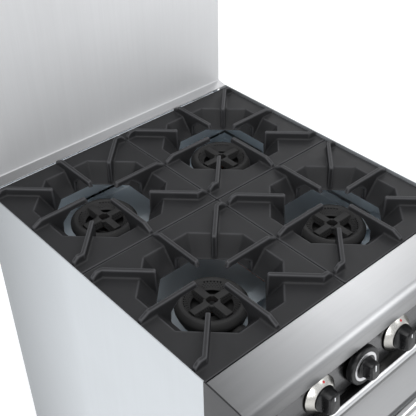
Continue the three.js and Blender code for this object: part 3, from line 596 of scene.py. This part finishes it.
def make_riser_front():
    """The tall flat riser sheet, with a short flange sloping out at its foot and a returned top."""
    riser_low, riser_high = corners_of("riser_front")
    sheet = 2 * MM
    flange_width = 23.5 * MM
    flange_rise = 5.5 * MM
    flange_edge = 1.6 * MM
    face = riser_low.y + flange_width
    foot = riser_low.z + flange_rise
    fillet = 3 * MM
    line = [(riser_low.y, riser_low.z + flange_edge),
            *arc((face - fillet, foot + fillet), fillet, 279, 360, 8),
            *arc((face + sheet, riser_high.z - sheet), sheet, 180, 90, 6), (riser_high.y, riser_high.z)]
    inner = [(riser_high.y, riser_high.z - sheet), (face + sheet, riser_high.z - sheet),
             (face + sheet, foot - 1 * MM), (riser_low.y, riser_low.z)]

    def build(shaped):
        add_sweep(shaped, line + inner, riser_low.x, riser_high.x)

    def on_flange(polygon):
        return polygon.center.y < face - fillet and polygon.normal.z > 0.5

    piece = new_piece("riser_sheet", mesh_from("riser_sheet", build), RISER_STEEL, ROOT,
                      replaces=("riser_front",))
    give_faces(piece, FLANGE_STEEL, on_flange)


# ---- Knobs --------------------------------------------------------------------------------
# Profiles are (radius, height) and flats (height, half width), in millimetres from the panel.
STEM = [(0, -26), (3.2, -26), (3.4, -25.6), (3.4, 3), (0, 3)]
# The red dots sit a little to the right of the top of their skirts.
DOT_TURN = math.radians(8)


def stem_frame(joint_name):
    """The frame of a stem: Z out of the panel along the joint's axis, Y up, X to the right."""
    joint = joints[joint_name]
    out = Vector(joint["axis"]).normalized()
    right = Vector((1, 0, 0))
    up = out.cross(right)
    turn = Matrix((right, up, out)).transposed().to_4x4()
    return Matrix.Translation(joint["pos_m"]) @ turn @ Matrix.Diagonal((MM, MM, MM, 1))


def flattened(levels):
    """Squeezes a turned form between two flats; levels are (height, half width) from low to high."""
    def form(point):
        limit = levels[-1][1]
        for (h0, w0), (h1, w1) in zip(levels, levels[1:]):
            if point.z <= h1:
                limit = w0 + (w1 - w0) * max(0.0, (point.z - h0) / (h1 - h0))
                break
        return Vector((max(-limit, min(limit, point.x)), point.y, point.z))
    return form


def make_knob(number):
    """A burner knob: a moulded grip with two flats, a turned skirt, a red dot and a white mark."""
    place = stem_frame(f"knob_{number}_turn")
    body = f"knob_{number}"
    grip = [(0, 2.6), (16, 2.6), (19.2, 9.6), (19.5, 10.8), (21.2, 11.0), (21.8, 11.6), (21.7, 12.6),
            (21.5, 13.2), (21.3, 14), (21.1, 15), (20.9, 16.2), (20.3, 20), (19.6, 24), (18.9, 28),
            (18.3, 29.8), (17.2, 30.9), (15.6, 31.4), (0, 31.5)]
    flats = [(12.6, 22), (13.2, 17), (14, 14.6), (15, 13.2), (16.2, 12.6), (28, 11.2), (29.8, 10.9),
             (30.9, 10.2), (31.4, 9.2)]

    def build_grip(shaped):
        add_lathe(shaped, grip, place, 72, flattened(flats))
        add_lathe(shaped, STEM, place, 24)

    new_piece(f"knob_grip_{number}", mesh_from(f"knob_grip_{number}", build_grip), BLACK, body,
              replaces=(f"burner_knob_{number}",))

    skirt = [(4.2, 0), (32.4, 0), (33, 0.5), (33, 1.6), (32.5, 2.3), (23, 10.2), (22.3, 10.6), (20.8, 10.6),
             (20.5, 10.2), (28.8, 3.2), (28.2, 2.6), (4.2, 2)]

    def build_skirt(shaped):
        add_lathe(shaped, skirt, place, 96)

    new_piece(f"knob_cone_{number}", mesh_from(f"knob_cone_{number}", build_skirt), NICKEL, body,
              replaces=(f"knob_skirt_{number}",))

    cone_rise, cone_run = 7.9, 9.5
    lean = math.atan2(cone_rise, cone_run)
    on_cone = Matrix.Translation((0, 27.6, 6.35)) @ Matrix.Rotation(-lean, 4, "X")
    at_dot = place @ Matrix.Rotation(-DOT_TURN, 4, "Z") @ on_cone
    lens = [(0, -0.4), (2.2, -0.4), (2.2, 0.05), (1.6, 0.3), (0, 0.42)]

    def build_dot(shaped):
        add_lathe(shaped, lens, at_dot, 24)

    new_piece(f"knob_dot_{number}", mesh_from(f"knob_dot_{number}", build_dot), RED, body)

    def build_mark(shaped):
        add_block(shaped, (-1.0, 7.5, 31.2), (1.0, 14.5, 31.75), 0.2, place)

    new_piece(f"knob_mark_{number}", mesh_from(f"knob_mark_{number}", build_mark), WHITE, body)


def make_oven_dial():
    """The oven control: a wide disc with a printed crescent, and a grip with two flats."""
    place = stem_frame("oven_control_turn")
    dial = [(0, 1), (31.4, 1), (33.2, 1.8), (34, 3.6), (33.8, 8), (33.2, 11.6), (32.2, 13),
            (30.4, 13.5), (0, 13.5)]
    hub = [(0, 13), (17.5, 13), (17.4, 14.6), (17.2, 15.4), (17.1, 16.4), (16.8, 20), (16.4, 24), (16, 28),
           (15.4, 31), (14.3, 32.5), (12.6, 33), (0, 33)]
    flats = [(14.6, 18), (15.4, 13), (16.4, 10.8), (28, 9.6), (31, 9.2), (32.5, 8.4), (33, 7.6)]

    def build(shaped):
        add_lathe(shaped, dial, place, 96)
        add_lathe(shaped, hub, place, 72, flattened(flats))
        add_lathe(shaped, STEM, place, 24)

    new_piece("oven_dial_body", mesh_from("oven_dial_body", build), BLACK, "oven_control",
              replaces=("oven_dial",))

    def build_crescent(shaped):
        steps = 96
        outer_radius = 25.5
        inner_radius = 18.2
        thinning = 3.6
        rings = []
        for z, inset in ((13.4, 0), (13.75, 0.15)):
            outer, inner = [], []
            for i in range(steps):
                angle = 2 * math.pi * i / steps
                way = Vector((math.cos(angle), math.sin(angle), 0))
                inside = inner_radius + thinning * abs(way.x) ** 1.5
                up = Vector((0, 0, z))
                outer.append(shaped.verts.new(place @ (way * (outer_radius - inset) + up)))
                inner.append(shaped.verts.new(place @ (way * (inside + inset) + up)))
            rings.append((outer, inner))
        (low_out, low_in), (high_out, high_in) = rings
        for i in range(steps):
            j = (i + 1) % steps
            shaped.faces.new((low_out[i], low_out[j], high_out[j], high_out[i]))
            shaped.faces.new((high_out[i], high_out[j], high_in[j], high_in[i]))
            shaped.faces.new((high_in[i], high_in[j], low_in[j], low_in[i]))
            shaped.faces.new((low_in[i], low_in[j], low_out[j], low_out[i]))

    new_piece("dial_scale", mesh_from("dial_scale", build_crescent), SILVER_PRINT, "oven_control")

    def build_mark(shaped):
        add_block(shaped, (-1.1, 1.5, 32.7), (1.1, 13.5, 33.3), 0.2, place)

    new_piece("dial_mark", mesh_from("dial_mark", build_mark), WHITE, "oven_control")


# ---- Burners ------------------------------------------------------------------------------
def sink_ports(shaped, ports, rim, depth):
    """Turns chosen faces into small blind holes, with their walls in the piece's second material."""
    bmesh.ops.inset_individual(shaped, faces=ports, thickness=rim, use_even_offset=True)
    made = bmesh.ops.extrude_discrete_faces(shaped, faces=ports)
    for face in made["faces"]:
        bmesh.ops.translate(shaped, verts=face.verts[:], vec=-face.normal * depth)
        # The walls take the second material, the near-black painted shade inside a port.
        for edge in face.edges:
            for wall in edge.link_faces:
                wall.material_index = 1


def grid_faces(shaped, at, across, rows, close):
    """Faces over a grid of points; the last column meets the first where it closes."""
    columns = across if close else across + 1
    points = [[shaped.verts.new(at(i / across, j)) for i in range(columns)] for j in range(rows)]
    faces = {}
    for j in range(rows - 1):
        for i in range(across):
            k = (i + 1) % columns
            faces[i, j] = shaped.faces.new((points[j][i], points[j][k], points[j + 1][k], points[j + 1][i]))
    return points, faces


def add_head_ring(shaped, centre, top):
    """The ring of the head: rounded outside, and ported on the slope inside between its bars.

    The profile is (radius, drop from the top); a port's reach is in degrees from between two bars."""
    steps = 104
    profile = [(36.5, 14), (64, 14), (64, 9.5), (63, 7.6), (57, 0.9), (55.6, 0.3), (51.2, 0), (49.8, 0.6),
               (48.3, 1.9), (46.0, 4.0), (45.2, 4.8), (43.9, 6.0), (43.1, 6.7), (41.8, 7.9), (41.0, 8.6),
               (39.7, 9.8), (36.5, 12.6)]
    count = len(profile)

    def at(u, j):
        radius, drop = profile[j % count]
        angle = 2 * math.pi * u
        return Vector((centre.x + radius * MM * math.cos(angle), centre.y + radius * MM * math.sin(angle),
                       top - drop * MM))

    points, faces = grid_faces(shaped, at, steps, count, True)
    for i in range(steps):
        k = (i + 1) % steps
        shaped.faces.new((points[-1][i], points[-1][k], points[0][k], points[0][i]))
    large_row, large_reach = 8, 21
    small_rows, small_reach = (10, 12, 14), 29
    large, small = [], []
    for (i, j), face in faces.items():
        from_middle = abs((i + 0.5) * 360 / steps % 90 - 45)
        if j == large_row and i % 2 == 0 and from_middle < large_reach:
            large.append(face)
        elif j in small_rows and i % 2 == (j // 2) % 2 and from_middle < small_reach:
            small.append(face)
    return large, small


def add_head_bar(shaped, centre, top, quarter):
    """One of four bars from the ring to the hub: a flat ridge, and a ported slope down each side."""
    turn = Matrix.Rotation(quarter * math.pi / 2, 3, "Z")
    near, far = 9, 44
    slope = [(10.4, 14), (9.9, 12), (9.3, 9.6), (8.7, 7.6), (8.1, 5.4), (7.5, 3.4), (6.6, 1.3), (5.6, 1)]
    section = slope + [(-side, drop) for side, drop in reversed(slope)]
    across = 16

    def at(u, j):
        side, drop = section[j]
        local = turn @ Vector((near + (far - near) * u, side, 0))
        return Vector((centre.x + local.x * MM, centre.y + local.y * MM, top - drop * MM))

    points, faces = grid_faces(shaped, at, across, len(section), False)
    shaped.faces.new([row[0] for row in points])
    shaped.faces.new([row[-1] for row in points])
    for i in range(across):
        shaped.faces.new((points[0][i], points[0][i + 1], points[-1][i + 1], points[-1][i]))
    first_port, last_port = 3, 12
    odd_or_even = {2: 0, 4: 1, 10: 1, 12: 0}
    return [face for (i, j), face in faces.items()
            if j in odd_or_even and first_port <= i <= last_port and i % 2 == odd_or_even[j]]


def make_burner_head(corner):
    """A burner's head: a ported ring, four ported bars and a hub; returns its centre."""
    head_low, head_high = corners_of(f"burner_head_{corner}")
    centre = (head_low + head_high) / 2
    top = head_high.z
    hub = [(10, 14), (15, 14), (15, 3), (14, 1.8), (11, 1.6), (10, 2.6)]

    def build(shaped):
        large, small = add_head_ring(shaped, centre, top)
        for quarter in range(4):
            small += add_head_bar(shaped, centre, top, quarter)
        lowered = [(radius * MM, -drop * MM) for radius, drop in hub]
        add_lathe(shaped, lowered, Matrix.Translation((centre.x, centre.y, top)), 40)
        bmesh.ops.recalc_face_normals(shaped, faces=shaped.faces)
        sink_ports(shaped, large, 0.1 * MM, 4 * MM)
        sink_ports(shaped, small, 0.3 * MM, 2.5 * MM)

    piece = new_piece(f"burner_star_{corner}", mesh_from(f"burner_star_{corner}", build), BURNER_CAST, ROOT,
                      replaces=(f"burner_head_{corner}",))
    piece.data.materials.append(PORT_SHADE)
    return centre


PILOT_TOP = 840 * MM


def make_pilot(corner, centre):
    """The pilot in the middle of a head: a copper tip on a bright sleeve."""
    axis = Matrix.Translation((centre.x, centre.y, PILOT_TOP)) @ Matrix.Diagonal((MM, MM, MM, 1))
    tip = [(3.05, -9), (4.2, -9), (4.4, -8.4), (4.4, -2.4), (3.6, -0.6), (2.6, 0.1), (0.9, 0.4), (0.9, 0.1),
           (3.05, -0.2)]
    sleeve = [(3.05, -32), (5.2, -32), (5.4, -31.4), (5.4, -28), (3.9, -27), (3.9, -9.6), (3.05, -9.6)]

    def build_tip(shaped):
        add_lathe(shaped, tip, axis, 32)

    def build_sleeve(shaped):
        add_lathe(shaped, sleeve, axis, 32)

    new_piece(f"pilot_tip_{corner}", mesh_from(f"pilot_tip_{corner}", build_tip), COPPER, ROOT)
    new_piece(f"pilot_sleeve_{corner}", mesh_from(f"pilot_sleeve_{corner}", build_sleeve), POLISHED, ROOT)


# ---- Legs, handle and fasteners -----------------------------------------------------------
def make_leg(corner):
    """A tapered leg with a screw foot below and a round plate above."""
    leg_low, leg_high = corners_of(f"leg_{corner}")
    centre = (leg_low + leg_high) / 2
    height = (leg_high.z - leg_low.z) / MM
    axis = Matrix.Translation((centre.x, centre.y, leg_low.z)) @ Matrix.Diagonal((MM, MM, MM, 1))
    foot = [(0, 0), (20.4, 0), (22, 0.8), (22.8, 2.6), (23, 5), (22.6, 8), (21, 9.6), (15, 13.4),
            (13, 14.4)]
    shank = [(13, 25.6), (16.2, 26), (17, 27.2), (17.6, 36), (22, 146)]
    plate = [(34.8, 146), (35.8, 146.5), (35.8, height - 1), (35, height), (0, height)]

    def build(shaped):
        add_lathe(shaped, foot + shank + plate, axis, 64)

    new_piece(f"leg_tube_{corner}", mesh_from(f"leg_tube_{corner}", build), LEG_STEEL, ROOT,
              replaces=(f"leg_{corner}",))


def make_handle():
    """The door's handle: a round bar with softened ends on two flared posts."""
    bar_low, bar_high = corners_of("door_handle")
    radius = (bar_high.z - bar_low.z) / 2
    half = bar_high.x
    y = bar_low.y + radius
    z = (bar_low.z + bar_high.z) / 2
    along = Matrix.Translation((0, y, z)) @ Matrix.Rotation(math.pi / 2, 4, "Y")
    post_at = half - 16 * MM
    reach = bar_high.y - y
    soft, nip = 2 * MM, 0.6 * MM
    bar = [(0, -half), (radius - soft, -half), (radius - nip, -half + nip), (radius, -half + soft),
           (radius, half - soft), (radius - nip, half - nip), (radius - soft, half), (0, half)]
    post = [(0, 0), (9 * MM, 0), (9 * MM, reach - 6 * MM), (9.6 * MM, reach - 4.6 * MM),
            (13.5 * MM, reach - 4 * MM), (13.8 * MM, reach - 3 * MM), (13.8 * MM, reach), (0, reach)]

    def build(shaped):
        add_lathe(shaped, bar, along, 64)
        for side in (-1, 1):
            out = Matrix.Translation((side * post_at, y, z)) @ Matrix.Rotation(-math.pi / 2, 4, "X")
            add_lathe(shaped, post, out, 48)

    new_piece("handle_tube", mesh_from("handle_tube", build), POLISHED, DOOR,
              replaces=("door_handle",))


# ---- Camera, floor and lights -------------------------------------------------------------
# The place is in metres, the angles in degrees; the lens and the sensor's width in millimetres.
CAMERA_PLACE = (-0.75687, -0.80238, 1.75174)
CAMERA_AZIMUTH = -41.062
CAMERA_ELEVATION = 37.418
CAMERA_ROLL = -1.087
CAMERA_LENS = 66.22
SENSOR_WIDTH = 36


def make_camera():
    """Above and in front of the left front corner, looking down on the cooktop."""
    data = bpy.data.cameras.new("camera")
    data.lens = CAMERA_LENS
    data.sensor_width = SENSOR_WIDTH
    camera = bpy.data.objects.new("camera", data)
    turn = Matrix.Rotation(math.radians(CAMERA_AZIMUTH), 4, "Z")
    tilt = Matrix.Rotation(math.radians(90 - CAMERA_ELEVATION), 4, "X")
    roll = Matrix.Rotation(math.radians(CAMERA_ROLL), 4, "Z")
    camera.matrix_world = Matrix.Translation(CAMERA_PLACE) @ turn @ tilt @ roll
    bpy.context.scene.collection.objects.link(camera)
    bpy.context.scene.camera = camera


def make_floor():
    """A white studio floor under the feet."""
    def build(shaped):
        bmesh.ops.create_grid(shaped, x_segments=8, y_segments=8, size=14)

    floor = bpy.data.objects.new("floor", mesh_from("floor", build))
    floor.data.materials.append(floor_paint())
    bpy.context.scene.collection.objects.link(floor)


def softbox(name, place, target, size, power, colour=(1, 1, 1)):
    """A rectangular light aimed at a target, with its size in metres and its power in watts."""
    data = bpy.data.lights.new(name, "AREA")
    data.shape = "RECTANGLE"
    data.size, data.size_y = size
    data.energy = power
    data.color = colour
    light = bpy.data.objects.new(name, data)
    light.location = place
    light.rotation_euler = (Vector(target) - Vector(place)).to_track_quat("-Z", "Y").to_euler()
    bpy.context.scene.collection.objects.link(light)


def make_lights():
    """Five soft lights round the range, and a pale world."""
    cooktop = (0, 0, 0.9)
    rail_fold = (0, -0.36, 0.88)
    left_side = (-0.3, 0, 0.7)
    softbox("overhead", (-0.5, -0.3, 3.3), cooktop, (1.6, 1.6), 22)
    softbox("fold_strip", (1.85, -1.75, 2.8), rail_fold, (2.2, 0.8), 11)
    softbox("right_box", (3.3, 1.7, 2.7), cooktop, (2.0, 2.0), 24)
    softbox("left_card", (-3.0, -0.6, 1.5), left_side, (2.4, 2.2), 20, (0.95, 0.98, 1.0))
    softbox("front_fill", (-1.6, -2.4, 2.0), cooktop, (1.4, 1.4), 22)
    world = bpy.data.worlds.new("studio")
    world.use_nodes = True
    background = world.node_tree.nodes["Background"]
    background.inputs["Color"].default_value = (0.95, 0.97, 1.0, 1)
    background.inputs["Strength"].default_value = 0.56
    bpy.context.scene.world = world
    bpy.context.scene.view_settings.view_transform = "Standard"


make_camera()
make_floor()
make_lights()
dress_frame()
make_front_rail()
make_drip_tray()
make_riser_front()
for number in range(1, 5):
    make_knob(number)
make_oven_dial()
for corner_name in CORNERS:
    make_pilot(corner_name, make_burner_head(corner_name))
    make_leg(corner_name)
make_handle()
